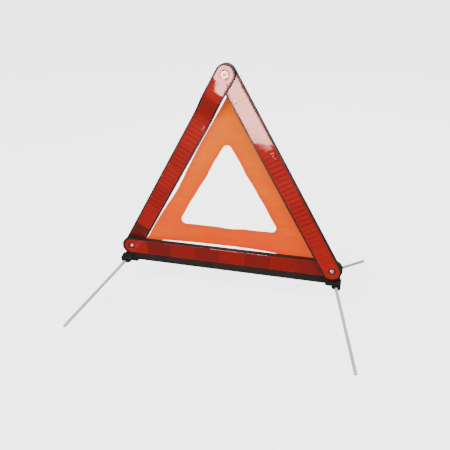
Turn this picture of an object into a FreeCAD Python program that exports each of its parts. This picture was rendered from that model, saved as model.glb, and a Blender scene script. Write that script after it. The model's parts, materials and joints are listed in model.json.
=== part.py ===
import FreeCAD, Part
import math
import os

# Folding roadside warning triangle, millimetres.
# x runs along the base to the right, y to the rear, z up; origin on the ground under the middle.
# Three bars pivot into a triangle: the left arm folds behind the base and the right arm in front of it.
# The orange sheet stands in the plane between them, and four wire legs swing out on inclined pivots.

os.makedirs("parts", exist_ok=True)
doc = FreeCAD.newDocument("WarningTriangle")
V = FreeCAD.Vector
SIZES = {
    "pivotspan": 400.0,     # between the pivots of each bar
    "pivotheight": 80.0,    # lower pivots above the ground
    "barwide": 35.0,        # arms and base, across
    "barthick": 7.0,
    "endradius": 19.0,      # rounded lugs at both ends of the base
    "lenswide": 29.4,       # red reflector plate
    "lensgap": 0.1,         # clearance of the plate in its tray
    "lensdeep": 2.4,
    "lenshole": 6.6,        # radius of the clearance hole round each rivet
    "groovewide": 0.7,      # joint line between two prism fields
    "groovedeep": 0.45,
    "fieldpitch": 50.0,     # length of one prism field
    "fieldfirst": 34.0,     # first joint line from the pivot
    "ribwide": 6.0,         # rear ribs, one behind each joint line
    "reardeep": 2.2,        # hollows between the rear ribs
    "rearwide": 27.0,
    "shankradius": 2.5,     # rivets
    "borefit": 0.06,
    "borewide": 0.35,
    "headradius": 4.0,
    "headthick": 1.9,
    "armgap": 0.7,          # right arm in front of the base
    "armlean": 1.24,        # right arm leans back so that its tip meets the stud, degrees
    "leftback": 12.4,       # rear face of the left arm
    "flexstart": 300.0,     # the left arm's flexible tip piece
    "flexend": 365.0,
    "flexthick": 4.5,
    "flexlens": 1.6,
    "flexfront": 21.6,      # front of the tip piece above the arm's rear face
    "capradius": 6.3,       # press stud
    "capthick": 1.6,
    "postradius": 2.2,
    "sheetfront": 4.0,
    "sheetthick": 0.9,
    "windowside": 197.0,    # triangular window in the sheet
    "windowbase": 60.5,     # its lower edge above the lower pivots
    "windowround": 9.0,
    "raildrop": 29.5,       # lower edge of the foot rail below the pivots
    "rodradius": 2.8,       # wire legs
    "pinradius": 2.0,
    "hubradius": 6.0,
    "hubthick": 7.2,
    "earthick": 2.0,
    "earradius": 6.8,
    "sleeveradius": 3.5,
    "sleeveend": 9.5,
    "legx": 208.0,          # leg pivots
    "frontlegy": 10.0,
    "frontlegz": 53.5,
    "rearlegy": 24.0,
    "rearlegz": 67.5,
    "tipx": 257.4,          # rod ends on the ground
    "tipy": 185.1,
    "screwradius": 1.4,
    "screwhead": 2.9,
}
table = doc.addObject("Spreadsheet::Sheet", "Sizes")
for row, (word, value) in enumerate(SIZES.items(), start=1):
    table.set("A%d" % row, word)
    table.set("B%d" % row, repr(value))
    table.setAlias("B%d" % row, word)
doc.recompute()


def size(word):
    return float(table.get(word))


P, Z0, W, T = size("pivotspan"), size("pivotheight"), size("barwide"), size("barthick")
LEAN = size("armlean")
REAR_BASE = T / 2


def turn(axis, degrees):
    return FreeCAD.Rotation(axis, degrees)


UPRIGHT = turn(V(1, 0, 0), 90)      # drawing plane stands up, its normal towards the front
AT_BASE = FreeCAD.Placement(V(-P / 2, REAR_BASE, Z0), UPRIGHT)
AT_LEFT = FreeCAD.Placement(V(-P / 2, size("leftback"), Z0), turn(V(0, 1, 0), -60).multiply(UPRIGHT))
right_turn = turn(V(1, 0, 0), -LEAN).multiply(turn(V(0, 1, 0), -120)).multiply(UPRIGHT)
AT_RIGHT = FreeCAD.Placement(V(P / 2, -REAR_BASE - size("armgap"), Z0), right_turn)


# ---- helpers: PartDesign bodies ---------------------------------------------------------------
def new_body(name):
    body = doc.addObject("PartDesign::Body", name)
    body.Label = name
    return body


def plane(body, role):
    return [f for f in body.Origin.OriginFeatures if f.Role == role][0]


def new_sketch(body, name, role="XY_Plane", lift=None):
    sk = body.newObject("Sketcher::SketchObject", name)
    sk.AttachmentSupport = (plane(body, role), [""])
    sk.MapMode = "FlatFace"
    if lift:
        sk.setExpression(".AttachmentOffset.Base.z", lift)
    return sk


def bind(sk, index, expression):
    sk.setExpression("Constraints[%d]" % index, expression)


def ring(sk, x, radius_text, along=None):
    """A circle on the bar's centre line, x along it."""
    g = sk.addGeometry(Part.Circle(V(x, 0, 0), V(0, 0, 1), 1.0), False)
    sk.addConstraint(Sketcher.Constraint("PointOnObject", g, 3, -1))
    c = sk.addConstraint(Sketcher.Constraint("DistanceX", -1, 1, g, 3, x)) if abs(x) > 1e-9 else None
    if c is None:
        sk.addConstraint(Sketcher.Constraint("PointOnObject", g, 3, -2))
    elif along:
        bind(sk, c, along)
    r = sk.addConstraint(Sketcher.Constraint("Radius", g, 1.0))
    bind(sk, r, radius_text)


def slot(sk, x0, x1, r, start_text, span_text, radius_text, square=False):
    """Bar outline: round at the start, round or square at the far end."""
    a = sk.addGeometry(Part.ArcOfCircle(Part.Circle(V(x0, 0, 0), V(0, 0, 1), r), math.pi / 2, 1.5 * math.pi))
    low = sk.addGeometry(Part.LineSegment(V(x0, -r, 0), V(x1, -r, 0)))
    if square:
        b = sk.addGeometry(Part.LineSegment(V(x1, -r, 0), V(x1, r, 0)))
    else:
        circle = Part.Circle(V(x1, 0, 0), V(0, 0, 1), r)
        b = sk.addGeometry(Part.ArcOfCircle(circle, -math.pi / 2, math.pi / 2))
    top = sk.addGeometry(Part.LineSegment(V(x1, r, 0), V(x0, r, 0)))
    sk.addConstraint(Sketcher.Constraint("Tangent", a, 2, low, 1))
    sk.addConstraint(Sketcher.Constraint("Tangent", top, 2, a, 1))
    joint = "Coincident" if square else "Tangent"
    sk.addConstraint(Sketcher.Constraint(joint, low, 2, b, 1))
    sk.addConstraint(Sketcher.Constraint(joint, b, 2, top, 1))
    sk.addConstraint(Sketcher.Constraint("PointOnObject", a, 3, -1))
    sk.addConstraint(Sketcher.Constraint("Horizontal", low))
    if square:
        sk.addConstraint(Sketcher.Constraint("Vertical", b))
    if abs(x0) < 1e-9:
        sk.addConstraint(Sketcher.Constraint("PointOnObject", a, 3, -2))
    else:
        bind(sk, sk.addConstraint(Sketcher.Constraint("DistanceX", -1, 1, a, 3, x0)), start_text)
    far = sk.addConstraint(Sketcher.Constraint("DistanceX", a, 3, b, 1 if square else 3, x1 - x0))
    bind(sk, far, span_text)
    bind(sk, sk.addConstraint(Sketcher.Constraint("Radius", a, r)), radius_text)


def block(sk, x, wide, high, x_text, wide_text, high_text):
    """Rectangle centred on the bar's centre line at x."""
    p = [V(x - wide / 2, -high / 2, 0), V(x + wide / 2, -high / 2, 0),
         V(x + wide / 2, high / 2, 0), V(x - wide / 2, high / 2, 0)]
    n = [sk.addGeometry(Part.LineSegment(p[i], p[(i + 1) % 4])) for i in range(4)]
    for i in range(4):
        sk.addConstraint(Sketcher.Constraint("Coincident", n[i], 2, n[(i + 1) % 4], 1))
    for i, word in ((0, "Horizontal"), (2, "Horizontal"), (3, "Vertical")):
        sk.addConstraint(Sketcher.Constraint(word, n[i]))
    sk.addConstraint(Sketcher.Constraint("Symmetric", n[0], 2, n[1], 2, -1))
    start = sk.addConstraint(Sketcher.Constraint("DistanceX", -1, 1, n[0], 1, x - wide / 2))
    bind(sk, start, "%s - (%s) / 2" % (x_text, wide_text))
    bind(sk, sk.addConstraint(Sketcher.Constraint("DistanceX", n[0], 1, n[0], 2, wide)), wide_text)
    bind(sk, sk.addConstraint(Sketcher.Constraint("DistanceY", n[1], 1, n[1], 2, high)), high_text)


def outline(sk, points):
    """Closed polygon through fixed points."""
    count = len(points)
    n = [sk.addGeometry(Part.LineSegment(V(*points[i], 0), V(*points[(i + 1) % count], 0)))
         for i in range(count)]
    for i in range(count):
        sk.addConstraint(Sketcher.Constraint("Coincident", n[i], 2, n[(i + 1) % count], 1))
    for i in n:
        sk.addConstraint(Sketcher.Constraint("Block", i))


def pad(body, sk, name, length_text, midplane=False):
    feature = body.newObject("PartDesign::Pad", name)
    feature.Profile = sk
    feature.setExpression("Length", length_text)
    if midplane:
        feature.Midplane = True
    doc.recompute()
    return feature


def pocket(body, sk, name, length_text, upward, midplane=False):
    """Cut; upward cuts towards the sketch's normal."""
    before = body.Shape.Volume
    feature = body.newObject("PartDesign::Pocket", name)
    feature.Profile = sk
    feature.setExpression("Length", length_text)
    feature.Reversed = upward
    if midplane:
        feature.Midplane = True
    doc.recompute()
    if body.Shape.Volume > before - 0.01:
        raise RuntimeError(body.Label + "." + name + " cut nothing")
    return feature


def repeat(body, feature, name, count, step_text):
    pattern = body.newObject("PartDesign::LinearPattern", name)
    pattern.Originals = [feature]
    pattern.Direction = (plane(body, "X_Axis"), [""])
    pattern.Mode = "Spacing"
    pattern.setExpression("Offset", step_text)
    pattern.Occurrences = count
    body.Tip = pattern
    doc.recompute()
    return pattern


S = "Sizes."
HALF = S + "barwide / 2"
LENS_R = S + "lenswide / 2"
TRAY_R = S + "lenswide / 2 + " + S + "lensgap"
TRAY_Z = S + "barthick - " + S + "lensdeep"
FIRST = S + "fieldfirst"


def housing(name, place, far, far_text, square, fields, bore_texts, lugs=False):
    """Black tray with a front recess for the reflector and ribbed hollows behind."""
    body = new_body(name)
    sk = new_sketch(body, name + "_outline")
    slot(sk, 0, far, W / 2, "", far_text, HALF, square)
    pad(body, sk, name + "_plate", S + "barthick")
    if lugs:
        sk = new_sketch(body, name + "_lugs")
        ring(sk, 0, S + "endradius")
        ring(sk, P, S + "endradius", S + "pivotspan")
        pad(body, sk, name + "_lug_pads", S + "barthick")
    sk = new_sketch(body, name + "_tray", lift=TRAY_Z)
    slot(sk, 0, far, size("lenswide") / 2, "", far_text, TRAY_R, square)
    pocket(body, sk, name + "_recess", S + "lensdeep + 1", True)
    sk = new_sketch(body, name + "_bores")
    for x, along, radius_text in bore_texts:
        ring(sk, x, radius_text, along)
    pocket(body, sk, name + "_bore_cut", S + "barthick + 1", True)
    sk = new_sketch(body, name + "_hollow")
    middle = FIRST + " + " + S + "fieldpitch / 2"
    long = S + "fieldpitch - " + S + "ribwide"
    block(sk, 59, 44, 27, middle, long, S + "rearwide")
    cut = pocket(body, sk, name + "_hollow_cut", S + "reardeep", True)
    repeat(body, cut, name + "_hollows", fields, S + "fieldpitch")
    body.Placement = place
    return body


def reflector(name, place, far, far_text, square, grooves, holes):
    """Red reflector plate with a joint line every field."""
    body = new_body(name)
    sk = new_sketch(body, name + "_outline", lift=TRAY_Z)
    slot(sk, 0, far, size("lenswide") / 2, "", far_text, LENS_R, square)
    pad(body, sk, name + "_plate", S + "lensdeep")
    sk = new_sketch(body, name + "_holes", lift=TRAY_Z)
    for x, along in holes:
        ring(sk, x, S + "lenshole", along)
    pocket(body, sk, name + "_hole_cut", S + "lensdeep + 1", True)
    sk = new_sketch(body, name + "_line", lift=S + "barthick - " + S + "groovedeep")
    block(sk, 34, 0.7, 40, FIRST, S + "groovewide", S + "barwide + 5")
    cut = pocket(body, sk, name + "_line_cut", S + "groovedeep + 1", True)
    repeat(body, cut, name + "_lines", grooves, S + "fieldpitch")
    body.Placement = place
    return body


# ---- base and arms ------------------------------------------------------------------------------
SPAN = S + "pivotspan"
FIT = S + "shankradius + " + S + "borefit"
LOOSE = S + "shankradius + " + S + "borewide"
ends = [(0, None), (P, SPAN)]
base_housing = housing("base_housing", AT_BASE, P, SPAN, False, 7,
                       [(0, None, FIT), (P, SPAN, LOOSE)], lugs=True)
reflector("base_lens", AT_BASE, P, SPAN, False, 7, ends)
housing("right_arm_housing", AT_RIGHT, P, SPAN, False, 7,
        [(0, None, FIT), (P, SPAN, S + "postradius")])
reflector("right_arm_lens", AT_RIGHT, P, SPAN, False, 7, ends)
housing("left_arm_housing", AT_LEFT, size("flexstart"), S + "flexstart", True, 5, [(0, None, FIT)])
reflector("left_arm_lens", AT_LEFT, size("flexstart"), S + "flexstart", True, 6, [(0, None)])

# The left arm's tip is a thin springy piece: it bends forwards and laps over the right arm's tip.
RISE = size("flexfront") - T
F0, F1, FT, FL = size("flexstart"), size("flexend"), size("flexthick"), size("flexlens")
BEND = [(0.0, 0.0), (0.2, 0.06), (0.4, 0.30), (0.6, 0.70), (0.8, 0.94), (1.0, 1.0)]


def ribbon(top_offset, thick, end):
    """Side view of a strip whose front follows the bend."""
    front = [(F0 + (F1 - F0) * s, T + RISE * k - top_offset) for s, k in BEND]
    front.append((end, T + RISE - top_offset))
    rear = [(x, z - thick) for x, z in front]
    return front + rear[::-1]


def tip_piece(name, top_offset, thick, wide_text, end_radius_text):
    body = new_body(name)
    sk = new_sketch(body, name + "_side", role="XZ_Plane")
    outline(sk, ribbon(top_offset, thick, P))
    pad(body, sk, name + "_strip", wide_text, midplane=True)
    sk = new_sketch(body, name + "_end", lift="%s - %.4f" % (S + "flexfront", top_offset + thick))
    ring(sk, P, end_radius_text, SPAN)
    pad(body, sk, name + "_round", "%.4f mm" % thick)
    return body


tongue = tip_piece("left_arm_tip_strip", 0.0, FT, S + "barwide", HALF)
sk = new_sketch(tongue, "strip_recess_side", role="XZ_Plane")
outline(sk, ribbon(-1.0, FL + 1.0, P))
pocket(tongue, sk, "strip_recess", S + "lenswide + 2 * " + S + "lensgap", False, midplane=True)
sk = new_sketch(tongue, "strip_end_recess", lift=S + "flexfront - " + S + "flexlens")
ring(sk, P, TRAY_R, SPAN)
pocket(tongue, sk, "strip_end_cut", S + "flexlens + 1", True)
sk = new_sketch(tongue, "strip_bore")
ring(sk, P, S + "postradius + 1.1", SPAN)
pocket(tongue, sk, "strip_bore_cut", S + "flexfront + 1", True)
tongue.Placement = AT_LEFT

tip_lens = tip_piece("left_arm_tip_lens", 0.0, FL, S + "lenswide", LENS_R)
sk = new_sketch(tip_lens, "tip_lens_hole")
ring(sk, P, S + "lenshole", SPAN)
pocket(tip_lens, sk, "tip_lens_hole_cut", S + "flexfront + 1", True)
sk = new_sketch(tip_lens, "tip_lens_line", lift=S + "flexfront - " + S + "groovedeep")
block(sk, 384, 0.7, 40, FIRST + " + 7 * " + S + "fieldpitch", S + "groovewide", S + "barwide + 5")
pocket(tip_lens, sk, "tip_lens_line_cut", S + "groovedeep + 1", True)
tip_lens.Placement = AT_LEFT


# ---- helpers: Part primitives ------------------------------------------------------------------
def along(direction):
    return FreeCAD.Rotation(V(0, 0, 1), direction)


def rod(name, base, direction, radius_text, length_text):
    c = doc.addObject("Part::Cylinder", name)
    c.setExpression("Radius", radius_text)
    c.setExpression("Height", length_text)
    c.Placement = FreeCAD.Placement(base, along(direction))
    return c


def brick(name, low, high, place=None):
    b = doc.addObject("Part::Box", name)
    b.Length, b.Width, b.Height = high[0] - low[0], high[1] - low[1], high[2] - low[2]
    local = FreeCAD.Placement(V(*low), FreeCAD.Rotation())
    b.Placement = place.multiply(local) if place else local
    return b


def fuse(name, shapes):
    f = doc.addObject("Part::MultiFuse", name)
    f.Shapes = shapes
    f.Refine = True
    f.Label = name
    return f


def cut(name, base, tools):
    tool = tools[0] if len(tools) == 1 else fuse(name + "_tools", tools)
    c = doc.addObject("Part::Cut", name)
    c.Base, c.Tool = base, tool
    c.Label = name
    return c


def group(name, solids):
    """Identical fasteners kept as separate solids of one node."""
    c = doc.addObject("Part::Compound", name)
    c.Links = solids
    c.Label = name
    return c


# ---- press stud ---------------------------------------------------------------------------------
TIP_Z = size("flexfront") - FL
stud_at = AT_LEFT.multVec(V(P, 0, TIP_Z))
FRONT = V(0, -1, 0)
cap_disc = rod("cap_disc", stud_at, FRONT, S + "capradius", S + "capthick + " + S + "flexlens")
cap_groove_out = rod("cap_groove_out", stud_at + FRONT * (FL + 0.6), FRONT, S + "capradius - 1.3", "4 mm")
cap_centre = doc.addObject("Part::Sphere", "cap_centre")
cap_centre.Radius = 3.6
cap_centre.Placement = FreeCAD.Placement(stud_at + FRONT * (FL - 1.4), FreeCAD.Rotation())
cap_centre_top = doc.addObject("Part::Common", "cap_centre_top")
cap_centre_top.Base = cap_centre
cap_centre_top.Tool = rod("cap_centre_limit", stud_at + FRONT * (FL + 0.5), FRONT, "3.3 mm", "6 mm")
cap_grooved = cut("cap_grooved", cap_disc, [cap_groove_out])
cap_full = fuse("cap_full", [cap_grooved, cap_centre_top])
cap_socket = rod("cap_socket", stud_at + FRONT * -4, FRONT, S + "postradius + 0.35", "4.8 mm")
cut("press_stud_cap", cap_full, [cap_socket])

post_at = AT_RIGHT.multVec(V(P, 0, 0.0))
lean_front = AT_RIGHT.Rotation.multVec(V(0, 0, 1))
post_shank = rod("post_shank", post_at + lean_front * 1.0, lean_front, S + "postradius", "10.6 mm")
post_neck = rod("post_neck", post_at + lean_front * (T - size("lensdeep")), lean_front,
                S + "headradius", "1.2 mm")
fuse("press_stud_post", [post_shank, post_neck])

# ---- pivot rivets ---------------------------------------------------------------------------------
head_out = size("headthick")


def rivet(name, place, tray_z, rear_z, tail_thick):
    """Domed head in the reflector's clearance hole, shank, and a flat tail behind."""
    front = place.Rotation.multVec(V(0, 0, 1))
    seat = place.multVec(V(0, 0, tray_z))
    tail = place.multVec(V(0, 0, rear_z))
    head = rod(name + "_head", seat, front, S + "headradius", S + "headthick")
    ball = doc.addObject("Part::Sphere", name + "_ball")
    ball.Radius = 7.0
    ball.Placement = FreeCAD.Placement(seat + front * (head_out + 0.5 - 7.0), FreeCAD.Rotation())
    dome = doc.addObject("Part::Common", name + "_dome")
    dome.Base = rod(name + "_dome_limit", seat, front, S + "headradius", S + "headthick + 2")
    dome.Tool = ball
    shank = rod(name + "_shank", tail, front, S + "shankradius", "%.4f mm" % (tray_z - rear_z + 0.5))
    foot = rod(name + "_tail", tail - front * tail_thick, front, S + "headradius + 0.6",
               "%.4f mm" % tail_thick)
    head_trim = doc.addObject("Part::Common", name + "_crown")
    head_trim.Base, head_trim.Tool = head, dome
    return fuse(name, [head_trim, shank, foot])


tray = T - size("lensdeep")
rivet("lower_left_rivet", AT_BASE, tray, REAR_BASE - size("leftback") - 0.1, 1.4)
rivet("lower_right_rivet", AT_RIGHT, tray, -(T + size("armgap") + 2.2), 1.4)

# ---- fluorescent sheet ----------------------------------------------------------------------------
# Seen from the front with the left pivot at 0, 0.  The left edge hangs slack inside the left arm,
# the right edge hides behind the right arm, and three narrow corners reach the pivots.
SHEET = [(-9, -6), (0, -12), (14, -9), (38, 6), (60, 16.5), (100, 19.5), (155, 21), (234, 21), (300, 16.5),
         (350, 4), (386, -9), (400, -12), (411, -4), (410, 7), (398, 14), (330, 121), (262, 239),
         (222, 308), (211, 340), (205, 347), (197, 346), (193, 337), (195, 329), (200, 316), (199, 307),
         (174.5, 264), (148, 218), (127, 178), (103, 131), (76, 90), (58, 62), (44, 38), (33, 20), (14, 12),
         (-4, 9)]
sheet_body = new_body("fluorescent_sheet")
sk = new_sketch(sheet_body, "sheet_outline")
outline(sk, SHEET)
pad(sheet_body, sk, "sheet_cloth", S + "sheetthick")
side = size("windowside")
low = size("windowbase")
sk = new_sketch(sheet_body, "sheet_window")
outline(sk, [(P / 2 - side / 2, low), (P / 2 + side / 2, low), (P / 2, low + side * math.sqrt(3) / 2)])
pocket(sheet_body, sk, "sheet_window_cut", S + "sheetthick + 1", True)
sk = new_sketch(sheet_body, "sheet_rivet_holes")
ring(sk, 0, S + "shankradius + 0.4")
ring(sk, P, S + "shankradius + 0.6", SPAN)
pocket(sheet_body, sk, "sheet_rivet_cut", S + "sheetthick + 1", True)
corner_edges = []
for number, edge in enumerate(sheet_body.Shape.Edges, start=1):
    a, b = edge.Vertexes[0].Point, edge.Vertexes[-1].Point
    upright = abs(a.z - b.z) > 0.5 and abs(a.x - b.x) < 1e-6 and abs(a.y - b.y) < 1e-6
    in_window = upright and edge.Curve.TypeId == "Part::GeomLine" and (
        (abs(a.y - low) < 0.01 and abs(abs(a.x - P / 2) - side / 2) < 0.01)
        or (abs(a.x - P / 2) < 0.01 and abs(a.y - low - side * math.sqrt(3) / 2) < 0.01))
    if in_window:
        corner_edges.append("Edge%d" % number)
sheet_cut = sheet_body.Tip
rounding = sheet_body.newObject("PartDesign::Fillet", "sheet_window_corners")
rounding.Base = (sheet_cut, corner_edges)
rounding.setExpression("Radius", S + "windowround")
doc.recompute()
sheet_back = size("sheetfront") + size("sheetthick")
sheet_body.Placement = FreeCAD.Placement(V(-P / 2, sheet_back, Z0), UPRIGHT)

BACK = V(0, 1, 0)
eyelets = []
for tag, x, z in (("apex", P / 2 + 2, 338.0), ("right", P, 0.0)):
    spot = V(x - P / 2, sheet_back, Z0 + z)
    disc = rod("eyelet_disc_" + tag, spot, BACK, "5.6 mm", "0.7 mm")
    hole = rod("eyelet_hole_" + tag, spot - BACK, BACK, "3.3 mm", "3 mm")
    eyelets.append(cut("eyelet_" + tag, disc, [hole]))
group("sheet_eyelets", eyelets)

# ---- foot rail, brackets, legs ------------------------------------------------------------------
RAIL_LOW = Z0 - size("raildrop")
RAIL_TOP = Z0 - W / 2
RAIL_END = 189.0
LEGS = {}
for fore, sy, ly, lz in (("front", -1, "frontlegy", "frontlegz"), ("rear", 1, "rearlegy", "rearlegz")):
    for hand, sx in (("left", -1), ("right", 1)):
        root = V(sx * size("legx"), sy * size(ly), size(lz))
        tip = V(sx * size("tipx"), sy * size("tipy"), size("rodradius"))
        reach = tip - root
        slope = math.atan2(-reach.z, abs(reach.y))
        axis = V(0, sy * math.sin(slope), math.cos(slope))
        LEGS[fore + "_" + hand] = (root, tip, axis, sx, sy, math.degrees(slope))
        print(fore, hand, "leg", round(reach.Length, 3), "slope", round(math.degrees(slope), 4),
              "axis", [round(v, 6) for v in axis],
              "sweep", round(90 + math.degrees(math.atan2(abs(reach.x), math.hypot(reach.y, reach.z))), 3))

EAR_IN = size("hubthick") / 2 + 0.1
EAR_OUT = EAR_IN + size("earthick")
rail_bits = [brick("rail_front_wall", (-RAIL_END, -T / 2, RAIL_LOW), (RAIL_END, T / 2, RAIL_TOP)),
             brick("rail_rear_flange", (-RAIL_END, T / 2 - 0.5, RAIL_LOW), (RAIL_END, 6.5, RAIL_LOW + 7.5))]
bracket_bits = {"left": [], "right": []}
pins = []
CLIP_X = 60.0
for name, (root, tip, axis, sx, sy, slope) in LEGS.items():
    hand = name.split("_")[1]
    frame = FreeCAD.Placement(root, turn(V(1, 0, 0), -sy * slope))
    # two ears, one above and one below the hub, reaching back to the bracket's block
    inner = -sy * 9.0
    # a hood over the hub and a wall on the outer side make each bearing a solid block
    hood = 8.0 if sy < 0 else EAR_OUT
    ear = size("earradius")
    y_hood = sorted((sy * (ear - 0.6), inner))
    x_hood = sorted((-sx * 12.0, sx * 10.4))
    bracket_bits[hand].append(brick("hood_" + name, (x_hood[0], y_hood[0], EAR_IN),
                                    (x_hood[1], y_hood[1], hood), frame))
    x_wall = sorted((sx * (ear + 0.2), sx * 10.4))
    bracket_bits[hand].append(brick("cheek_" + name, (x_wall[0], y_hood[0], -EAR_OUT),
                                    (x_wall[1], y_hood[1], hood), frame))
    for side_name, low_z, high_z in (("upper", EAR_IN, EAR_OUT), ("lower", -EAR_OUT, -EAR_IN)):
        tag = name + "_" + side_name
        base = frame.multVec(V(0, 0, low_z))
        bracket_bits[hand].append(rod("ear_disc_" + tag, base, axis, S + "earradius", S + "earthick"))
        ears = ((-ear, min(0, inner), low_z), (ear, max(0, inner), high_z))
        bracket_bits[hand].append(brick("ear_plate_" + tag, ears[0], ears[1], frame))
    # stop: a post between the ears that the sleeve meets when the leg is fully out
    reach = tip - root
    lean = math.atan2(reach.x * sx, math.hypot(reach.y, reach.z))
    aim = turn(V(0, 0, 1), (-sy * sx) * math.degrees(lean))
    stop_frame = frame.multiply(FreeCAD.Placement(V(0, 0, 0), aim))
    gap = size("sleeveradius") + 0.12
    x_low, x_high = (gap, gap + 3.0) if sx > 0 else (-gap - 3.0, -gap)
    y_low, y_high = (3.0, 9.0) if sy > 0 else (-9.0, -3.0)
    bracket_bits[hand].append(brick("stop_" + name, (x_low, y_low, -EAR_OUT), (x_high, y_high, EAR_OUT),
                                    stop_frame))
    pins.append(rod("pin_" + name, frame.multVec(V(0, 0, -EAR_OUT - 0.8)), axis, S + "pinradius",
                    "%.4f mm" % (2 * EAR_OUT + 1.6)))
    # spring fingers that hold the folded leg against the rail
    if sy < 0:
        continue
    cx = -sx * (size("legx") - CLIP_X)
    wall_in, wall_out = 3.3, 6.8
    y_wall = (min(-sy * wall_in, -sy * wall_out), max(-sy * wall_in, -sy * wall_out))
    y_arm = (min(-sy * wall_in, sy * 1.8), max(-sy * wall_in, sy * 1.8))
    rail_bits.append(brick("clip_wall_" + name, (cx - 4, y_wall[0], -4.8), (cx + 4, y_wall[1], 4.8), frame))
    for word, za, zb in (("top", 3.05, 4.8), ("bottom", -4.8, -3.05)):
        rail_bits.append(brick("clip_%s_%s" % (word, name), (cx - 4, y_arm[0], za), (cx + 4, y_arm[1], zb),
                               frame))
    world_x = root.x + cx
    rail_bits.append(brick("clip_strut_" + name, (world_x - 4, 6.0, 52.0), (world_x + 4, 19.5, 56.5)))
    rail_bits.append(brick("clip_post_" + name, (world_x - 4, 15.5, 52.0), (world_x + 4, 19.5, 67.5)))

rail_full = fuse("rail_full", rail_bits)
screw_xs = [-166.0, -66.0, 34.0, 134.0]
SCREW_Y = REAR_BASE - 2.3
rail_holes = []
for i, x in enumerate(screw_xs):
    rail_holes.append(rod("rail_screw_way_%d" % i, V(x, SCREW_Y, RAIL_LOW - 1), V(0, 0, 1),
                          S + "screwradius", "20 mm"))
    rail_holes.append(rod("rail_screw_sink_%d" % i, V(x, SCREW_Y, RAIL_LOW - 1), V(0, 0, 1),
                          S + "screwhead + 0.1", "3.4 mm"))
cut("foot_rail", rail_full, rail_holes)
rail_screws = []
for i, x in enumerate(screw_xs):
    shank = rod("screw_shank_%d" % i, V(x, SCREW_Y, RAIL_LOW + 2.0), V(0, 0, 1), S + "screwradius", "17 mm")
    head = rod("screw_head_%d" % i, V(x, SCREW_Y, RAIL_LOW + 0.4), V(0, 0, 1), S + "screwhead", "2 mm")
    slot_cut = brick("screw_slot_%d" % i, (x - 4, SCREW_Y - 0.4, RAIL_LOW),
                     (x + 4, SCREW_Y + 0.4, RAIL_LOW + 1.1))
    rail_screws.append(cut("rail_screw_%d" % i, fuse("screw_%d" % i, [shank, head]), [slot_cut]))
group("rail_screws", rail_screws)

# blind holes for those screws in the lower rim of the base
screw_cuts = new_sketch(base_housing, "base_screw_holes", role="XZ_Plane", lift=HALF + " + 1")
for x in screw_xs:
    g = screw_cuts.addGeometry(Part.Circle(V(x + P / 2, 2.3, 0), V(0, 0, 1), size("screwradius")), False)
    screw_cuts.addConstraint(Sketcher.Constraint("Block", g))
before = base_housing.Shape.Volume
holes = base_housing.newObject("PartDesign::Pocket", "base_screw_cut")
holes.Profile = screw_cuts
holes.Length = 8.2
doc.recompute()
if base_housing.Shape.Volume > before - 1:
    holes.Reversed = True
    doc.recompute()
if base_housing.Shape.Volume > before - 1:
    raise RuntimeError("base screw holes cut nothing")

BLOCK_TOP = 61.8
for hand, sx in (("left", -1), ("right", 1)):
    xs = sorted((sx * RAIL_END, sx * 216.0))
    bits = bracket_bits[hand]
    bits.append(brick("block_" + hand, (xs[0], -3.5, 46.0), (xs[1], 17.4, BLOCK_TOP)))
    up = sorted((sx * 200.4, sx * 215.6))
    bits.append(brick("upright_" + hand, (up[0], 14.2, 55.0), (up[1], 17.4, 77.5)))
    whole = fuse("bracket_whole_" + hand, bits)
    pivot = V(sx * P / 2, -6, Z0)
    ways = [rod("lug_room_" + hand, pivot, BACK, S + "endradius + 0.05", "9.7 mm")]
    # clear room for the arm that turns in front of the base
    ways.append(rod("arm_room_" + hand, V(sx * P / 2, -13, Z0), BACK, S + "endradius + 0.8", "9.3 mm"))
    for name, (root, tip, axis, lx, sy, slope) in LEGS.items():
        if lx != sx:
            continue
        frame = FreeCAD.Placement(root, turn(V(1, 0, 0), -sy * slope))
        ways.append(rod("pin_way_" + name, frame.multVec(V(0, 0, -12)), axis, S + "pinradius", "24 mm"))
        ways.append(rod("hub_room_" + name, frame.multVec(V(0, 0, -EAR_IN)), axis,
                        S + "hubradius + 0.35", "%.4f mm" % (2 * EAR_IN)))
    cut("leg_bracket_" + hand, whole, ways)
group("leg_pivot_pins", pins)

for name, (root, tip, axis, sx, sy, slope) in LEGS.items():
    way = tip - root
    full = way.Length
    unit = V(way).normalize()
    hub = rod("hub_" + name, root - axis * (size("hubthick") / 2), axis, S + "hubradius", S + "hubthick")
    sleeve = rod("sleeve_" + name, root, unit, S + "sleeveradius", S + "sleeveend")
    knuckle = fuse("knuckle_" + name, [hub, sleeve])
    pin_bore = rod("knuckle_bore_" + name, root - axis * 10, axis, S + "pinradius + " + S + "borefit",
                   "20 mm")
    rod_bore = rod("rod_bore_" + name, root + unit * 3.2, unit, S + "rodradius", "20 mm")
    cut("leg_knuckle_" + name, knuckle, [pin_bore, rod_bore])
    wire = rod("wire_" + name, root + unit * 3.2, unit, S + "rodradius", "%.4f mm" % (full - 3.2))
    ball = doc.addObject("Part::Sphere", "wire_end_" + name)
    ball.setExpression("Radius", S + "rodradius")
    ball.Placement = FreeCAD.Placement(tip, FreeCAD.Rotation())
    fuse("leg_rod_" + name, [wire, ball])

doc.recompute()

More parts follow.
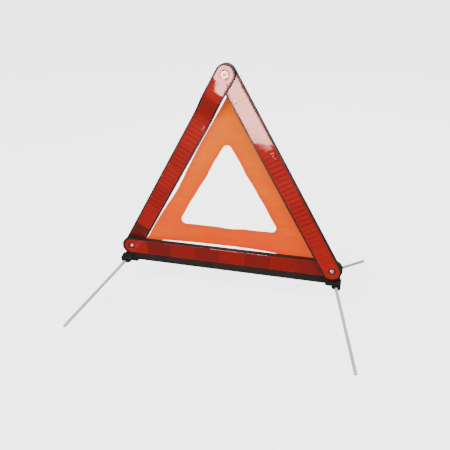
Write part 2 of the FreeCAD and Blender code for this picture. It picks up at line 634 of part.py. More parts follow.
# ---- check and write --------------------------------------------------------------------------
NODES = ["base_housing", "base_lens", "foot_rail", "rail_screws", "leg_bracket_left", "leg_bracket_right",
         "leg_pivot_pins", "lower_left_rivet", "lower_right_rivet", "fluorescent_sheet", "sheet_eyelets",
         "left_arm_housing", "left_arm_lens", "left_arm_tip_strip", "left_arm_tip_lens", "press_stud_cap",
         "right_arm_housing", "right_arm_lens", "press_stud_post"]
NODES += ["leg_rod_" + n for n in LEGS] + ["leg_knuckle_" + n for n in LEGS]
bad = [o.Name + str(o.State) for o in doc.Objects if "Invalid" in o.State or "Error" in o.State]
if bad:
    raise RuntimeError("failed objects: " + ", ".join(bad))
box = None
for label in NODES:
    found = doc.getObjectsByLabel(label)[0]
    shape = found.Shape
    if shape.isNull() or not shape.isValid():
        raise RuntimeError(label + " is not a valid shape")
    shape.exportStep("parts/%s.step" % label)
    print("%-26s solids %d volume %.1f" % (label, len(shape.Solids), shape.Volume))
    bounds = shape.BoundBox
    box = FreeCAD.BoundBox(bounds) if box is None else box.united(bounds)
print("box", [round(v, 2) for v in (box.XMin, box.XMax, box.YMin, box.YMax, box.ZMin, box.ZMax)])
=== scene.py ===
import json
import math

import bpy
from mathutils import Matrix, Vector, geometry


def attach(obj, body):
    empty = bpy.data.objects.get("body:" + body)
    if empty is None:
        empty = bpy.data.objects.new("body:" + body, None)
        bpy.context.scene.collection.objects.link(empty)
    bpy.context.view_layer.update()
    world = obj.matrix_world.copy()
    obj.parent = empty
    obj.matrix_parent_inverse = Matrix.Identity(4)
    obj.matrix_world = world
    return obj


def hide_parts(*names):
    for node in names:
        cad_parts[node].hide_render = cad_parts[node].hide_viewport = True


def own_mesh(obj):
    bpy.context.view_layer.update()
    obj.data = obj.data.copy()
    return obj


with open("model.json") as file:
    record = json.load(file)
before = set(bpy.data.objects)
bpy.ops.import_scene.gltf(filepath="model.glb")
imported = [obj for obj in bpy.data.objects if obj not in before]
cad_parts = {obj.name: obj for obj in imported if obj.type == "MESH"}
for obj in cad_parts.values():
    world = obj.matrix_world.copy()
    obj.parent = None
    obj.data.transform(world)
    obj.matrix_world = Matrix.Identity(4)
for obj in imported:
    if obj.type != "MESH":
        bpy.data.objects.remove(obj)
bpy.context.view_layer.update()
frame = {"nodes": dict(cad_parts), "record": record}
nodes = frame["nodes"]
MM = 0.001

# ---- sizes repeated from the model, millimetres ---------------------------------------------
PIVOT_SPAN = 400.0
PIVOT_HEIGHT = 80.0
BASE_BACK = 3.5
ARM_GAP = 0.7
LEFT_BACK = 12.4
ARM_LEAN = 1.24
BAR_THICK = 7.0
LENS_HALF = 14.7
LENS_DEEP = 2.4
HOLE = 6.6
FIELD = 50.0
FIRST_FIELD = 34.0
ARM_FIRST_FIELD = 50.0
FACE_DROP = 0.18
GROOVE_HALF, GROOVE_DEEP = 0.3, 0.14
JOINT_COUNT = 9
RIB_PITCH, RIB_HALF, RIB_TOP, RIB_FOOT = 2.4, 11.9, 0.15, 0.19
BEAD_PITCH, BEAD_ROW = 3.2, 13.55
FLEX_START = 300.0
FLEX_END = 365.0
FLEX_FRONT = 21.6
FLEX_LENS = 1.6
FLEX_BEND = [(0.0, 0.0), (0.2, 0.06), (0.4, 0.30), (0.6, 0.70), (0.8, 0.94), (1.0, 1.0)]
SHEET_FRONT = 4.0
SHEET_THICK = 0.9

STAND = Matrix.Rotation(math.radians(90), 4, "X")


def bar_place(x, y, turn, lean=0.0):
    """Bar coordinates (along, across, outwards) to the row frame, both in millimetres."""
    move = Matrix.Translation((x, y, PIVOT_HEIGHT))
    return (move @ Matrix.Rotation(math.radians(-lean), 4, "X")
            @ Matrix.Rotation(math.radians(turn), 4, "Y") @ STAND)


BASE = bar_place(-PIVOT_SPAN / 2, BASE_BACK, 0)
LEFT = bar_place(-PIVOT_SPAN / 2, LEFT_BACK, -60)
RIGHT = bar_place(PIVOT_SPAN / 2, -BASE_BACK - ARM_GAP, -120, ARM_LEAN)


# ---- material helpers ----------------------------------------------------------------------------
class Mat:
    """Short hand for building a node material."""

    def __init__(self, name):
        self.m = bpy.data.materials.new(name)
        self.m.use_nodes = True
        self.t = self.m.node_tree
        self.shader = [n for n in self.t.nodes if n.type == "BSDF_PRINCIPLED"][0]

    def node(self, kind, **values):
        n = self.t.nodes.new(kind)
        for key, value in values.items():
            if hasattr(n, key):
                setattr(n, key, value)
            else:
                n.inputs[key.replace("_", " ")].default_value = value
        return n

    def link(self, a, b):
        self.t.links.new(a, b)

    def set(self, **values):
        for key, value in values.items():
            self.shader.inputs[key.replace("_", " ")].default_value = value

    def place(self, scale=(1, 1, 1), source="Object"):
        coords = self.node("ShaderNodeTexCoord")
        mapping = self.node("ShaderNodeMapping")
        mapping.inputs["Scale"].default_value = scale
        self.link(coords.outputs[source], mapping.inputs["Vector"])
        return mapping.outputs["Vector"]

    def noise(self, vector, scale, detail=3.0, rough=0.55):
        n = self.node("ShaderNodeTexNoise")
        n.inputs["Scale"].default_value = scale
        n.inputs["Detail"].default_value = detail
        n.inputs["Roughness"].default_value = rough
        self.link(vector, n.inputs["Vector"])
        return n.outputs["Fac"]

    def ramp(self, value, stops):
        r = self.node("ShaderNodeValToRGB")
        e = r.color_ramp.elements
        while len(e) < len(stops):
            e.new(0.5)
        for item, (at, colour) in zip(e, stops):
            item.position = at
            item.color = (*colour, 1.0) if len(colour) == 3 else colour
        self.link(value, r.inputs["Fac"])
        return r.outputs["Color"]

    def span(self, value, low, high, a=0.0, b=1.0):
        r = self.node("ShaderNodeMapRange")
        for key, number in (("From Min", a), ("From Max", b), ("To Min", low), ("To Max", high)):
            r.inputs[key].default_value = number
        self.link(value, r.inputs["Value"])
        return r.outputs["Result"]

    def maths(self, op, a, b=None):
        n = self.node("ShaderNodeMath")
        n.operation = op
        for i, value in enumerate((a, b)):
            if value is None:
                continue
            if isinstance(value, (int, float)):
                n.inputs[i].default_value = value
            else:
                self.link(value, n.inputs[i])
        return n.outputs["Value"]

    def mix(self, fac, a, b, blend="MIX"):
        n = self.node("ShaderNodeMix")
        n.data_type = "RGBA"
        n.blend_type = blend
        for i, value in ((0, fac), (6, a), (7, b)):
            if isinstance(value, (int, float)):
                n.inputs[i].default_value = value
            elif isinstance(value, tuple):
                n.inputs[i].default_value = (*value, 1.0)
            else:
                self.link(value, n.inputs[i])
        return n.outputs[2]

    def bump(self, height, distance, strength=1.0, before=None):
        n = self.node("ShaderNodeBump")
        n.inputs["Distance"].default_value = distance
        n.inputs["Strength"].default_value = strength
        self.link(height, n.inputs["Height"])
        if before:
            self.link(before, n.inputs["Normal"])
        return n.outputs["Normal"]

    def to(self, socket, value):
        self.link(value, self.shader.inputs[socket])


def black_plastic():
    m = Mat("black_plastic")
    at = m.place()
    grain = m.noise(at, 900, 4)
    cloud = m.noise(at, 35, 4)
    m.to("Base Color", m.ramp(cloud, [(0.25, (0.008, 0.009, 0.008)), (0.75, (0.019, 0.021, 0.018))]))
    m.to("Roughness", m.span(cloud, 0.34, 0.52, 0.25, 0.75))
    m.to("Normal", m.bump(grain, 0.00012, 0.5))
    m.set(Specular_IOR_Level=0.32)
    return m.m


def zinc_wire():
    m = Mat("zinc_wire")
    at = m.place()
    streak = m.noise(m.place((1, 0.12, 0.6)), 420, 5)
    cloud = m.noise(at, 60, 3)
    m.to("Base Color", m.ramp(cloud, [(0.3, (0.82, 0.83, 0.85)), (0.7, (0.94, 0.94, 0.95))]))
    m.to("Roughness", m.span(streak, 0.22, 0.42, 0.3, 0.7))
    m.to("Normal", m.bump(streak, 0.00006, 0.5))
    m.set(Metallic=0.2)
    return m.m


def nickel():
    m = Mat("nickel")
    at = m.place()
    cloud = m.noise(at, 300, 4)
    m.to("Base Color", m.ramp(cloud, [(0.3, (0.60, 0.55, 0.50)), (0.7, (0.82, 0.77, 0.71))]))
    m.to("Roughness", m.span(cloud, 0.34, 0.48, 0.3, 0.7))
    m.set(Metallic=1.0)
    return m.m


def red_reflector():
    """Clear red plate: smooth gloss outside, rows of prisms seen inside.  UV runs along and across in mm."""
    m = Mat("red_reflector")
    uv = m.node("ShaderNodeUVMap", uv_map="bar").outputs["UV"]
    split = m.node("ShaderNodeSeparateXYZ")
    m.link(uv, split.inputs["Vector"])
    along, across = split.outputs["X"], split.outputs["Y"]
    tone = m.node("ShaderNodeAttribute", attribute_name="tone").outputs["Fac"]
    # prism rows: fine bars across, broken into small facets
    row = m.maths("SINE", m.maths("MULTIPLY", along, 2 * math.pi / 1.9))
    cell = m.maths("SINE", m.maths("MULTIPLY", across, 2 * math.pi / 2.2))
    facet = m.maths("MULTIPLY", row, cell)
    prisms = m.maths("ADD", m.maths("MULTIPLY", row, 0.6), m.maths("MULTIPLY", facet, 0.4))
    scaled = m.node("ShaderNodeMapping")
    scaled.inputs["Scale"].default_value = (0.55, 0.12, 1)
    m.link(uv, scaled.inputs["Vector"])
    streak = m.noise(scaled.outputs["Vector"], 1.0, 4, 0.6)
    fine = m.noise(uv, 0.35, 5, 0.6)
    # tone carries each face's brightness, with painted light and shade in it: how bright each prism field
    # looks, the darker far slope of the ribs and the dark low end of the left arm
    dark = m.ramp(tone, [(0.0, (0.10, 0.007, 0.006)), (0.35, (0.24, 0.008, 0.006)),
                         (0.7, (0.48, 0.009, 0.006)), (1.0, (0.70, 0.013, 0.007))])
    raised = m.mix(1.0, dark, (1.45, 1.3, 1.2), "MULTIPLY")
    light = m.mix(m.span(streak, 0.0, 0.55, 0.3, 0.75), dark, raised)
    lowered = m.mix(1.0, light, (0.45, 0.4, 0.4), "MULTIPLY")
    shade = m.mix(m.span(prisms, 0.0, 0.38, -1.0, 1.0), light, lowered)
    m.to("Base Color", m.mix(m.span(fine, 0.0, 0.3, 0.35, 0.8), shade, (0.34, 0.005, 0.004)))
    m.to("Roughness", m.span(streak, 0.28, 0.46, 0.3, 0.7))
    m.to("Normal", m.bump(prisms, 0.0002, 0.35))
    m.set(Specular_IOR_Level=0.18, Coat_Weight=1.0, Coat_Roughness=0.03, Coat_IOR=1.44)
    m.shader.inputs["Specular Tint"].default_value = (1.0, 0.25, 0.2, 1.0)
    return m.m


def orange_cloth():
    """Fluorescent coated cloth: deep at the hems, lighter and yellower towards the top as painted light, with
    painted fold highlights and a painted glow.
    """
    m = Mat("orange_cloth")
    at = m.place()
    split = m.node("ShaderNodeSeparateXYZ")
    m.link(at, split.inputs["Vector"])
    x, z = split.outputs["X"], split.outputs["Z"]
    # painted light: the cloth grows lighter and yellower towards the top, as if lit from above, and deeper
    # towards the bottom
    height = m.span(z, 0.0, 1.0, 0.10, 0.36)
    cloud = m.noise(at, 14, 3)
    body = m.ramp(height, [(0.0, (1.0, 0.075, 0.0)), (0.3, (1.0, 0.11, 0.0)), (0.7, (1.0, 0.165, 0.0)),
                           (1.0, (1.0, 0.18, 0.0))])
    body = m.mix(m.span(cloud, 0.0, 0.35, 0.4, 0.75), body, (1.0, 0.10, 0.0))
    # painted highlight: along the folds the colour is pushed lighter and yellower, as light catching the
    # wrinkles; the same noise also bumps the folds
    fold = m.noise(m.place((0.35, 1, 1.8)), 22, 3)
    body = m.mix(m.span(fold, 0.0, 0.45, 0.5, 0.72), body, (1.0, 0.25, 0.01))
    warp = m.maths("SINE", m.maths("MULTIPLY", x, 2 * math.pi / 0.0011))
    weft = m.maths("SINE", m.maths("MULTIPLY", z, 2 * math.pi / 0.0011))
    weave = m.maths("MULTIPLY", warp, weft)
    edge = m.node("ShaderNodeAttribute", attribute_name="edge").outputs["Fac"]
    body = m.mix(m.span(edge, 0.0, 0.75), body, (1.0, 0.06, 0.0))
    body = m.mix(m.span(weave, 0.0, 0.10, -1, 1), body, (0.85, 0.07, 0.0))
    m.to("Base Color", body)
    m.to("Roughness", m.span(cloud, 0.6, 0.75, 0.3, 0.7))
    m.to("Normal", m.bump(weave, 0.00008, 0.4, m.bump(fold, 0.003, 0.5)))
    # painted glow: the cloth emits its own colour at strength 0.5, brightening it beyond what the lamps give
    m.to("Emission Color", body)
    m.set(Emission_Strength=0.5, Specular_IOR_Level=0.12)
    return m.m


BLACK, ZINC, NICKEL = black_plastic(), zinc_wire(), nickel()
RED, ORANGE = red_reflector(), orange_cloth()
FINISH = {"black": BLACK, "zinc": ZINC, "nickel": NICKEL, "red_lens": RED, "orange_cloth": ORANGE}
slot_of = {s["node"]: s["material_slot"] for s in frame["record"]["subparts"]}
for name, obj in nodes.items():
    for s in obj.material_slots:
        s.material = FINISH[slot_of[name]]


# ---- mesh helpers ---------------------------------------------------------------------------
def mesh_object(name, verts, faces, material, body, smooth_angle=35):
    mesh = bpy.data.meshes.new(name)
    mesh.from_pydata([tuple(v) for v in verts], [], faces)
    mesh.materials.append(material)
    mesh.update()
    obj = bpy.data.objects.new(name, mesh)
    bpy.context.scene.collection.objects.link(obj)
    mesh.shade_smooth()
    mesh.set_sharp_from_angle(angle=math.radians(smooth_angle))
    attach(obj, body)
    return obj


def flex_lift(u):
    """How far the springy tip piece has come forwards at u."""
    s = min(max((u - FLEX_START) / (FLEX_END - FLEX_START), 0.0), 1.0)
    for (s0, k0), (s1, k1) in zip(FLEX_BEND, FLEX_BEND[1:]):
        if s <= s1:
            return (FLEX_FRONT - BAR_THICK) * (k0 + (k1 - k0) * (s - s0) / (s1 - s0))
    return FLEX_FRONT - BAR_THICK


class Lens:
    """One reflector plate in bar coordinates: outer skin, edge beads, joint grooves and hole rims."""

    def __init__(self, deep, lift, first):
        self.deep, self.lift, self.first = deep, lift, first
        self.verts, self.faces, self.uv, self.tones = [], [], [], []

    def field(self, u):
        """Which prism field a point along the bar lies in: 0 before the first joint line."""
        return 0 if u < self.first else int((u - self.first) // FIELD) + 1

    def point(self, u, v, drop):
        self.verts.append(Vector((u, v, BAR_THICK + self.lift(u) - drop)))
        self.uv.append((u, v))
        return len(self.verts) - 1

    def face(self, ids, tone):
        self.faces.append(ids)
        self.tones.append(tone)

    def strip(self, loops, tone_of, close=False):
        """Quads between successive loops of points."""
        for a, b in zip(loops, loops[1:]):
            count = len(a)
            for i in range(count if close else count - 1):
                j = (i + 1) % count
                u = sum(self.uv[k][0] for k in (a[i], a[j], b[i], b[j])) / 4
                self.face((a[i], a[j], b[j], b[i]), tone_of(u))

    def body(self, u0, u1, tones):
        half_section = [(0.0, FACE_DROP), (6.0, FACE_DROP), (12.6, FACE_DROP), (12.9, 0.0), (14.2, 0.0),
                        (14.45, 0.08), (LENS_HALF, 0.35), (LENS_HALF, self.deep)]
        section = [(-v, drop) for v, drop in reversed(half_section[1:])] + half_section
        joints = [self.first + FIELD * k for k in range(JOINT_COUNT)]
        joints = [j for j in joints if u0 + 1 < j < u1 - 1]
        steps = (-GROOVE_HALF, -0.4 * GROOVE_HALF, 0.0, 0.4 * GROOVE_HALF, GROOVE_HALF)
        stops = sorted(set([u0, u1] + [j + d for j in joints for d in steps]))
        marks = []
        for a, b in zip(stops, stops[1:]):
            parts = max(1, int(round((b - a) / 4.0)))
            marks += [a + (b - a) * i / parts for i in range(parts)]
        marks.append(u1)
        loops = []
        for u in marks:
            near = min([abs(u - j) for j in joints] or [9])
            groove = GROOVE_DEEP * max(0.0, 1 - near / GROOVE_HALF)
            ring = []
            for v, drop in section:
                if drop < 1:
                    drop = max(drop, groove + FACE_DROP if abs(v) < 12.7 else groove)
                ring.append(self.point(u, v, drop))
            loops.append(ring)
        self.strip(loops, lambda u: tones[self.field(u)])
        if abs(u1 - FLEX_START) < 1:
            self.face(tuple(loops[-1]), tones[self.field(u1 - 1)])
        if abs(u0 - FLEX_START) < 1:
            self.face(tuple(reversed(loops[0])), tones[self.field(u0 + 1)])

    def end(self, centre, toward, tones):
        """Round end with its clearance hole; toward is +1 when the bar runs on to larger u."""
        steps = 72
        reach = LENS_HALF

        def limit(angle):
            c, s = math.cos(angle), math.sin(angle)
            if c * toward <= 0:
                return reach
            return min(reach / max(abs(c), 1e-6), reach / max(abs(s), 1e-6))

        rows = [(0.0, self.deep), (0.0, 0.5), (0.06, 0.15), (0.14, 0.0), (0.3, 0.0), (0.34, FACE_DROP),
                (0.6, FACE_DROP)]
        outer = [(0.84, FACE_DROP), (0.87, 0.0), (0.965, 0.0), (0.985, 0.08), (1.0, 0.35), (1.0, self.deep)]
        loops = []
        for share, drop in rows + outer:
            ring = []
            for i in range(steps):
                angle = 2 * math.pi * i / steps
                far = limit(angle)
                r = HOLE + (far - HOLE) * share
                inner = math.cos(angle) * toward > 0.70
                d = drop
                if inner and share > 0.8:
                    d = FACE_DROP if drop < 1 else self.deep
                    d = 0.0 if abs(r * math.sin(angle)) > 12.75 and drop < 1 else d
                ring.append(self.point(centre + r * math.cos(angle), r * math.sin(angle), d))
            loops.append(ring)
        mid = self.field(centre + toward * 2)
        self.strip(loops, lambda u: tones[mid], close=True)

    def bead(self, u, v):
        """Small round bead of the moulded edge line."""
        top = self.point(u, v, -0.28)
        ring = [self.point(u + 0.62 * math.cos(a), v + 0.62 * math.sin(a), 0.02)
                for a in (math.pi * k / 4 for k in range(8))]
        mid = [self.point(u + 0.42 * math.cos(a), v + 0.42 * math.sin(a), -0.18)
               for a in (math.pi * k / 4 for k in range(8))]
        for i in range(8):
            j = (i + 1) % 8
            self.face((ring[i], ring[j], mid[j], mid[i]), 0.28)
            self.face((mid[i], mid[j], top), 0.28)

    def ribs(self, u0, u1, tones):
        """Low prism ridges that run across the fields, between the joint lines."""
        for k in range(int((u1 - u0) / RIB_PITCH)):
            u = u0 + RIB_PITCH * (k + 0.5)
            if min(abs(u - self.first - FIELD * j) for j in range(JOINT_COUNT)) < 1.7:
                continue
            if abs(self.lift(u + 1) - self.lift(u - 1)) > 0.01:
                continue
            tone = tones[self.field(u)]
            a = [self.point(u - 0.8, v, RIB_FOOT) for v in (-RIB_HALF, RIB_HALF)]
            b = [self.point(u, v, RIB_TOP) for v in (-RIB_HALF + 0.5, RIB_HALF - 0.5)]
            c = [self.point(u + 0.8, v, RIB_FOOT) for v in (-RIB_HALF, RIB_HALF)]
            self.face((a[0], b[0], b[1], a[1]), tone)
            # painted shade: the far slope of each rib gets 0.88 of the near slope's tone
            self.face((b[0], c[0], c[1], b[1]), tone * 0.88)
            self.face((a[0], c[0], b[0]), tone)
            self.face((a[1], b[1], c[1]), tone)

    def build(self, name, place, body, replaced):
        verts = [(place @ p) * MM for p in self.verts]
        obj = mesh_object(name, verts, self.faces, RED, body, 10)
        mesh = obj.data
        layer = mesh.uv_layers.new(name="bar")
        for loop in mesh.loops:
            layer.data[loop.index].uv = self.uv[loop.vertex_index]
        tone = mesh.attributes.new("tone", "FLOAT", "FACE")
        tone.data.foreach_set("value", self.tones)
        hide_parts(*replaced)
        return obj


def flat(u):
    """Lift of a plate that doesn't bend."""
    return 0.0


def edge_beads(lens, u0, u1):
    """A row of beads along each long edge."""
    count = int((u1 - u0) / BEAD_PITCH)
    for k in range(count):
        u = u0 + (k + 0.5) * (u1 - u0) / count
        for v in (-BEAD_ROW, BEAD_ROW):
            lens.bead(u, v)


def plate(name, place, body, tones, end, holes, deep=LENS_DEEP, start=0.0, lift=flat, replaced=(),
          joint=ARM_FIRST_FIELD):
    """Reflector plate of one bar; holes names its round ends, joint is the first joint line."""
    lens = Lens(deep, lift, joint)
    first = start + (LENS_HALF if "near" in holes else 0)
    last = end - (LENS_HALF if "far" in holes else 0)
    lens.body(first, last, tones)
    lens.ribs(first, last, tones)
    edge_beads(lens, first, last)
    if "near" in holes:
        lens.end(0.0, 1, tones)
    if "far" in holes:
        lens.end(PIVOT_SPAN, -1, tones)
    return lens.build(name, place, body, replaced)


# brightness of the prism fields from the pivot outwards; alternate fields catch the light differently
BASE_TONES = [0.75, 0.38, 0.58, 0.45, 0.62, 0.45, 0.60, 0.50, 0.50]
RIGHT_TONES = [0.90, 0.80, 0.68, 0.80, 0.70, 0.80, 0.78, 0.85, 0.90]
# the left arm's first field, 0.12, is painted shade on its low end, which sits recessed behind the base
LEFT_TONES = [0.12, 0.80, 0.64, 0.78, 0.66, 0.78, 0.70, 0.80, 0.85]
plate("base_reflector", BASE, "base", BASE_TONES, PIVOT_SPAN, ("near", "far"), replaced=["base_lens"],
      joint=FIRST_FIELD)
plate("right_reflector", RIGHT, "right_arm", RIGHT_TONES, PIVOT_SPAN, ("near", "far"),
      replaced=["right_arm_lens"])
plate("left_reflector", LEFT, "left_arm", LEFT_TONES, FLEX_START, ("near",), replaced=["left_arm_lens"])
tip_reflector = plate("left_tip_reflector", LEFT, "left_arm", LEFT_TONES, PIVOT_SPAN, ("far",),
                      deep=FLEX_LENS, start=FLEX_START, lift=flex_lift, replaced=["left_arm_tip_lens"])


# ---- springy tip of the left arm: copies of its strip and stud cap on meshes of their own ---------
def copy_of(node, name, body="left_arm"):
    """Copy of a CAD node on a mesh of its own, with the node hidden."""
    mesh = nodes[node].data.copy()
    obj = bpy.data.objects.new(name, mesh)
    bpy.context.scene.collection.objects.link(obj)
    mesh.materials.clear()
    mesh.materials.append(FINISH[slot_of[node]])
    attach(obj, body)
    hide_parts(node)
    return obj


tip_strip = copy_of("left_arm_tip_strip", "left_tip_strip")
stud_cap = copy_of("press_stud_cap", "left_tip_stud_cap")
for piece in (tip_reflector, tip_strip, stud_cap):
    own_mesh(piece)

# ---- fluorescent sheet ----------------------------------------------------------------------------
SHEET = [(-9, -6), (0, -12), (14, -9), (38, 6), (60, 16.5), (100, 19.5), (155, 21), (234, 21), (300, 16.5),
         (350, 4), (386, -9), (400, -12), (411, -4), (410, 7), (398, 14), (330, 121), (262, 239),
         (222, 308), (211, 340), (205, 347), (197, 346), (193, 337), (195, 329), (200, 316), (199, 307),
         (174.5, 264), (148, 218), (127, 178), (103, 131), (76, 90), (58, 62), (44, 38), (33, 20), (14, 12),
         (-4, 9)]
SEED_PITCH, SEED_GAP = 6.0, 3.2
BAR_HALF = 17.5
MOST_SLACK = 3.3
WINDOW_SIDE, WINDOW_LOW, WINDOW_ROUND = 197.0, 60.5, 9.0


def smooth_loop(points, step):
    """Closed curve through the points, resampled about every step."""
    out = []
    count = len(points)
    for i in range(count):
        p0, p1, p2, p3 = (Vector(points[(i + k) % count]) for k in (-1, 0, 1, 2))
        parts = max(1, int((p2 - p1).length / step))
        reach = (p2 - p1).length
        m1 = (p2 - p0).normalized() * reach * 0.9
        m2 = (p3 - p1).normalized() * reach * 0.9
        for k in range(parts):
            s = k / parts
            out.append((2 * s**3 - 3 * s**2 + 1) * p1 + (s**3 - 2 * s**2 + s) * m1
                       + (3 * s**2 - 2 * s**3) * p2 + (s**3 - s**2) * m2)
    return out


def window_loop(step):
    """The window's outline: three round corners and three slightly wavy sides."""
    cx = PIVOT_SPAN / 2
    corners = [Vector((cx - WINDOW_SIDE / 2, WINDOW_LOW)), Vector((cx + WINDOW_SIDE / 2, WINDOW_LOW)),
               Vector((cx, WINDOW_LOW + WINDOW_SIDE * math.sqrt(3) / 2))]
    centre = sum(corners, Vector((0, 0))) / 3
    points = []
    for i, corner in enumerate(corners):
        inward = (centre - corner).normalized()
        pivot = corner + inward * WINDOW_ROUND * 2
        away = math.atan2(-inward.y, -inward.x)
        for k in range(9):
            a = away + math.radians(-60 + 15 * k)
            points.append(pivot + Vector((math.cos(a), math.sin(a))) * WINDOW_ROUND)
        nxt = corners[(i + 1) % 3]
        nin = (centre - nxt).normalized()
        npivot = nxt + nin * WINDOW_ROUND * 2
        naway = math.atan2(-nin.y, -nin.x) + math.radians(-60)
        start = points[-1]
        finish = npivot + Vector((math.cos(naway), math.sin(naway))) * WINDOW_ROUND
        side = (finish - start)
        normal = Vector((-side.y, side.x)).normalized()
        parts = int(side.length / step)
        for k in range(1, parts):
            s = k / parts
            wave = 0.9 * math.sin(2 * math.pi * (1.5 * s + 0.3 * i))
            wave = (wave + 0.5 * math.sin(2 * math.pi * 3.3 * s)) * math.sin(math.pi * s)
            points.append(start + side * s + normal * wave)
    return points


def inside(point, loop):
    """Whether the point lies inside the closed loop."""
    x, y = point
    hit = False
    for (x0, y0), (x1, y1) in zip(loop, loop[1:] + loop[:1]):
        if (y0 > y) != (y1 > y) and x < (x1 - x0) * (y - y0) / (y1 - y0) + x0:
            hit = not hit
    return hit


def distance(point, loop):
    """Shortest distance from the point to the closed loop."""
    best = 1e9
    for a, b in zip(loop, loop[1:] + loop[:1]):
        ab = b - a
        s = max(0.0, min(1.0, (point - a).dot(ab) / max(ab.length_squared, 1e-9)))
        best = min(best, (point - a - ab * s).length)
    return best


outer = smooth_loop(SHEET, 5.0)
window = window_loop(5.0)
seeds = list(outer) + list(window)
# points of a triangular grid fill the space between the outline and the window
for i in range(-3, 70):
    for j in range(-3, 68):
        p = Vector((i * SEED_PITCH + (SEED_PITCH / 2 if j % 2 else 0), j * SEED_PITCH * 0.87))
        clear = distance(p, outer) > SEED_GAP and distance(p, window) > SEED_GAP
        if clear and inside(p, outer) and not inside(p, window):
            seeds.append(p)
n_out, n_win = len(outer), len(window)
edges = [(i, (i + 1) % n_out) for i in range(n_out)]
edges += [(n_out + i, n_out + (i + 1) % n_win) for i in range(n_win)]
points2, _, tris, _, _, _ = geometry.delaunay_2d_cdt(seeds, edges, [], 0, 1e-4)
kept = []
for tri in tris:
    middle = sum((points2[i] for i in tri), Vector((0, 0))) / len(tri)
    if inside(middle, outer) and not inside(middle, window):
        kept.append(tuple(tri))


def bar_cover(x, z):
    """0 where a bar clamps the cloth, rising to 1 well inside the triangle."""
    base_gap = z - BAR_HALF
    s3 = math.sqrt(3) / 2
    left_gap = x * s3 - z * 0.5 - BAR_HALF
    right_gap = (PIVOT_SPAN - x) * s3 - z * 0.5 - BAR_HALF
    gap = min(base_gap, left_gap, right_gap)
    return max(0.0, min(1.0, gap / 30.0))


def cloth_offset(x, z):
    """Gentle bulge of the cloth towards the front, always positive."""
    slack = (1.5 * math.sin(x / 31.0 + z / 47.0) + 1.1 * math.sin(z / 21.0 - x / 60.0 + 0.8)
             + 0.7 * math.sin((x + 1.7 * z) / 17.0))
    return (MOST_SLACK + slack) * bar_cover(x, z)


mid_y = SHEET_FRONT + SHEET_THICK / 2
half_cloth = 0.25
verts, edge_tone = [], []
for side in (-1, 1):
    for p in points2:
        y = mid_y + side * half_cloth - 0.35 * cloth_offset(p.x, p.y)
        verts.append(Vector((p.x - PIVOT_SPAN / 2, y, p.y + PIVOT_HEIGHT)) * MM)
        rim = min(distance(p, window), max(distance(p, outer) - 1, 0))
        edge_tone.append(max(0.0, 1 - rim / 9.0))
count = len(points2)
faces = [t for t in kept] + [tuple(i + count for i in reversed(t)) for t in kept]
sides = {}
for t in kept:
    for a, b in zip(t, t[1:] + t[:1]):
        sides[(a, b)] = sides.get((a, b), 0) + 1
for a, b in list(sides):
    if (b, a) not in sides:
        faces.append((b, a, a + count, b + count))
cloth = mesh_object("fluorescent_cloth", verts, faces, ORANGE, "base", 60)
tone = cloth.data.attributes.new("edge", "FLOAT", "POINT")
tone.data.foreach_set("value", edge_tone)
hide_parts("fluorescent_sheet")
# The window and the slanting sides leave about 0.27 of the flat rectangle as cloth. An area under 0.3 of the
# rectangle is refused, so the declared one is a floor, 0.31 of it, and about an eighth above the cloth's own.
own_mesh(cloth)

rings = copy_of("sheet_eyelets", "cloth_eyelets", "base")
rings.data.transform(Matrix.Translation((0, -0.3 * MM, 0)))
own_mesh(rings)

# ---- floor, light, camera -------------------------------------------------------------------------
STAGE_REACH = 14.0
FLOOR_LEVEL = -0.0005
STAGE_GLOW = 3.2
SKY, KEY, FILL, BACK, GLINT = 0.35, 56, 23, 14, 13


def stage_surface(name, rings):
    """Pale studio surface of revolution through (radius, height) rings; only the camera sees it."""
    steps = 48
    verts = [(r * math.cos(2 * math.pi * i / steps), r * math.sin(2 * math.pi * i / steps), z)
             for r, z in rings for i in range(steps)]
    faces = []
    for k in range(len(rings) - 1):
        low, high = k * steps, (k + 1) * steps
        faces += [(low + i, low + (i + 1) % steps, high + (i + 1) % steps, high + i) for i in range(steps)]
    mesh = bpy.data.meshes.new(name)
    mesh.from_pydata(verts, [], faces)
    obj = bpy.data.objects.new(name, mesh)
    bpy.context.scene.collection.objects.link(obj)
    m = Mat(name)
    cloud = m.noise(m.place(), 3, 2)
    m.to("Base Color", m.ramp(cloud, [(0.3, (0.78, 0.78, 0.77)), (0.7, (0.82, 0.82, 0.81))]))
    m.set(Roughness=0.9, Specular_IOR_Level=0.0, Emission_Strength=STAGE_GLOW)
    m.shader.inputs["Emission Color"].default_value = (1.0, 1.0, 1.0, 1.0)
    mesh.materials.append(m.m)
    obj.visible_diffuse = obj.visible_glossy = obj.visible_transmission = obj.visible_shadow = False


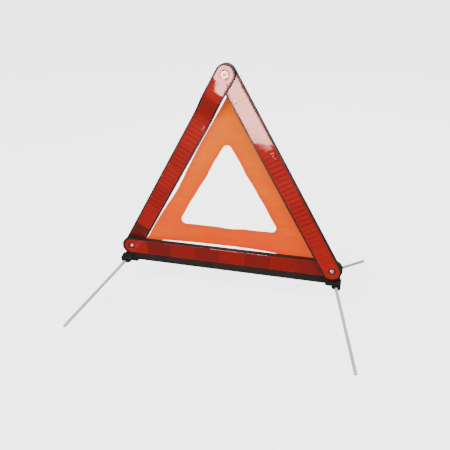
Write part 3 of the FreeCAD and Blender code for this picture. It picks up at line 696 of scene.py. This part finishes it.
stage_surface("floor", [(0.001, FLOOR_LEVEL), (STAGE_REACH, FLOOR_LEVEL)])
wall_angles = [math.radians(a) for a in range(0, 90, 10)]
stage_surface("studio_wall", [(STAGE_REACH * math.cos(a), STAGE_REACH * math.sin(a) + FLOOR_LEVEL)
                              for a in wall_angles])

world = bpy.data.worlds.new("studio")
bpy.context.scene.world = world
world.use_nodes = True
sky = [n for n in world.node_tree.nodes if n.type == "BACKGROUND"][0]
sky.inputs["Color"].default_value = (1.0, 1.0, 1.0, 1.0)
sky.inputs["Strength"].default_value = SKY


def lamp(name, at, aim, wide, high, power, colour=(1.0, 0.985, 0.96)):
    data = bpy.data.lights.new(name, "AREA")
    data.shape = "RECTANGLE"
    data.size, data.size_y = wide, high
    data.energy = power
    data.color = colour
    obj = bpy.data.objects.new(name, data)
    obj.location = at
    obj.rotation_euler = (Vector(aim) - Vector(at)).to_track_quat("-Z", "Y").to_euler()
    bpy.context.scene.collection.objects.link(obj)
    return obj


lamp("key", (-1.1, -1.4, 2.2), (0, 0, 0.2), 1.6, 1.2, KEY)
lamp("fill", (1.7, -0.9, 1.4), (0, 0, 0.2), 1.4, 1.4, FILL)
lamp("back", (0.2, 1.8, 1.6), (0, 0, 0.2), 1.6, 1.0, BACK)
# low card in front that the glossy top corner mirrors
card = lamp("glint", (-0.184, -1.0, 0.192), (-0.184, 0.0, 0.192), 0.24, 0.29, GLINT, (1.0, 0.50, 0.44))
card.visible_diffuse = False

camera_data = bpy.data.cameras.new("camera")
camera = bpy.data.objects.new("camera", camera_data)
bpy.context.scene.collection.objects.link(camera)
camera_data.sensor_width = 36.0
camera_data.lens = 42.49
azimuth, elevation, roll, reach = (math.radians(15.185), math.radians(25.747), math.radians(-0.593), 1.0012)
target = Vector((-0.0047, 0.0, 0.1475))
back = Vector((math.sin(azimuth) * math.cos(elevation), -math.cos(azimuth) * math.cos(elevation),
               math.sin(elevation)))
right = Vector((math.cos(azimuth), math.sin(azimuth), 0))
up = right.cross(-back)
r_axis = math.cos(roll) * right + math.sin(roll) * up
u_axis = -math.sin(roll) * right + math.cos(roll) * up
turn = Matrix((r_axis, u_axis, back)).transposed()
camera.matrix_world = Matrix.Translation(target + back * reach) @ turn.to_4x4()
bpy.context.scene.camera = camera
